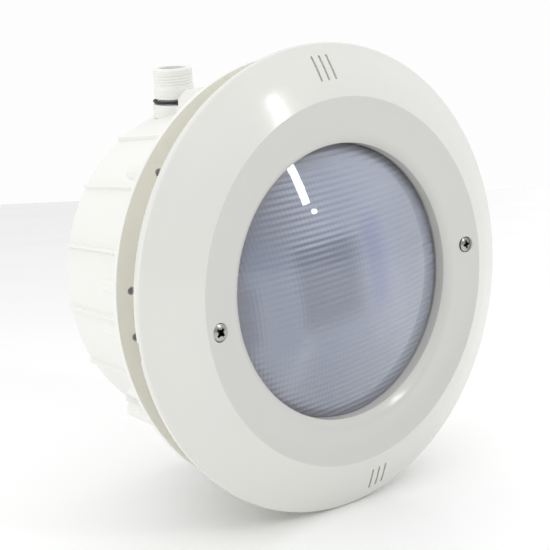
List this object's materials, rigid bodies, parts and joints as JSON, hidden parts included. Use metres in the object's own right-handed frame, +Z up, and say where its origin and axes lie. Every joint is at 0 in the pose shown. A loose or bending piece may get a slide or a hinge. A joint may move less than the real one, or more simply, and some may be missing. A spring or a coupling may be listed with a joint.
{
  "type": "underwater pool light",
  "caption": "Round underwater pool light: a wide trim ring and fluted lamp held by two screws in a ribbed wall niche with a threaded conduit spigot on top.",
  "frame": {"origin": "centre of the niche's flat rear face", "axes": "+Z up towards the conduit spigot, -Y out of the front of the light, +X to the right as seen from the front"},
  "size_m": [0.2749, 0.1516, 0.2771],
  "materials": {
    "ring_abs": "glossy moulded white plastic, slightly warm",
    "niche_abs": "semi-gloss moulded white plastic",
    "lens_glass": "pressed glass with fine flutes",
    "reflector": "aluminised pressed glass",
    "black_rubber": "black rubber",
    "stainless_steel": "stainless steel",
    "brass": "turned brass",
    "nickel_wire": "drawn nickel wire and sheet",
    "tungsten": "coiled tungsten wire",
    "nylon": "natural nylon"
  },
  "bodies": {
    "niche": {"niche_housing": "niche_abs", "niche_flange": "niche_abs", "conduit_saddle": "niche_abs", "conduit_spigot": "niche_abs", "conduit_oring": "black_rubber", "niche_insert_left": "brass", "niche_insert_right": "brass"},
    "lamp_unit": {"face_ring": "ring_abs", "lens_glass": "lens_glass", "reflector": "reflector", "filament_post_left": "nickel_wire", "filament_post_right": "nickel_wire", "filament": "tungsten", "filament_shield": "nickel_wire", "lamp_terminal_left": "brass", "lamp_terminal_right": "brass", "terminal_screw_left": "stainless_steel", "terminal_screw_right": "stainless_steel", "lamp_gasket": "black_rubber", "rear_cover": "niche_abs", "cover_screw_1": "stainless_steel", "cover_screw_2": "stainless_steel", "cover_screw_3": "stainless_steel", "cover_screw_4": "stainless_steel", "cover_screw_5": "stainless_steel", "cover_screw_6": "stainless_steel", "cover_screw_7": "stainless_steel", "cover_screw_8": "stainless_steel", "gland_body": "niche_abs", "gland_nut": "niche_abs", "gland_seal": "black_rubber"},
    "clip_left": {"screw_clip_left": "nylon"},
    "clip_right": {"screw_clip_right": "nylon"},
    "screw_left": {"face_screw_left": "stainless_steel"},
    "screw_right": {"face_screw_right": "stainless_steel"}
  },
  "joints": [
    {"name": "lamp_unit_pull", "type": "slide", "parent": "niche", "child": "lamp_unit", "axis": [0, -1, 0], "range_m": [0, 0.16]},
    {"name": "screw_left_travel", "type": "slide", "parent": "lamp_unit", "child": "clip_left", "axis": [0, -1, 0], "range_m": [0, 0.0115]},
    {"name": "screw_left_turn", "type": "hinge", "parent": "clip_left", "child": "screw_left", "pos_m": [-0.0973, -0.1, 0], "axis": [0, -1, 0], "range_deg": [0, 4140]},
    {"name": "screw_right_travel", "type": "slide", "parent": "lamp_unit", "child": "clip_right", "axis": [0, -1, 0], "range_m": [0, 0.0115]},
    {"name": "screw_right_turn", "type": "hinge", "parent": "clip_right", "child": "screw_right", "pos_m": [0.0973, -0.1, 0], "axis": [0, -1, 0], "range_deg": [0, 4140]}
  ],
  "couplings": [
    {"joint": "screw_left_turn", "follows": "screw_left_travel", "rad_per_m": 6283.2},
    {"joint": "screw_right_turn", "follows": "screw_right_travel", "rad_per_m": 6283.2}
  ]
}
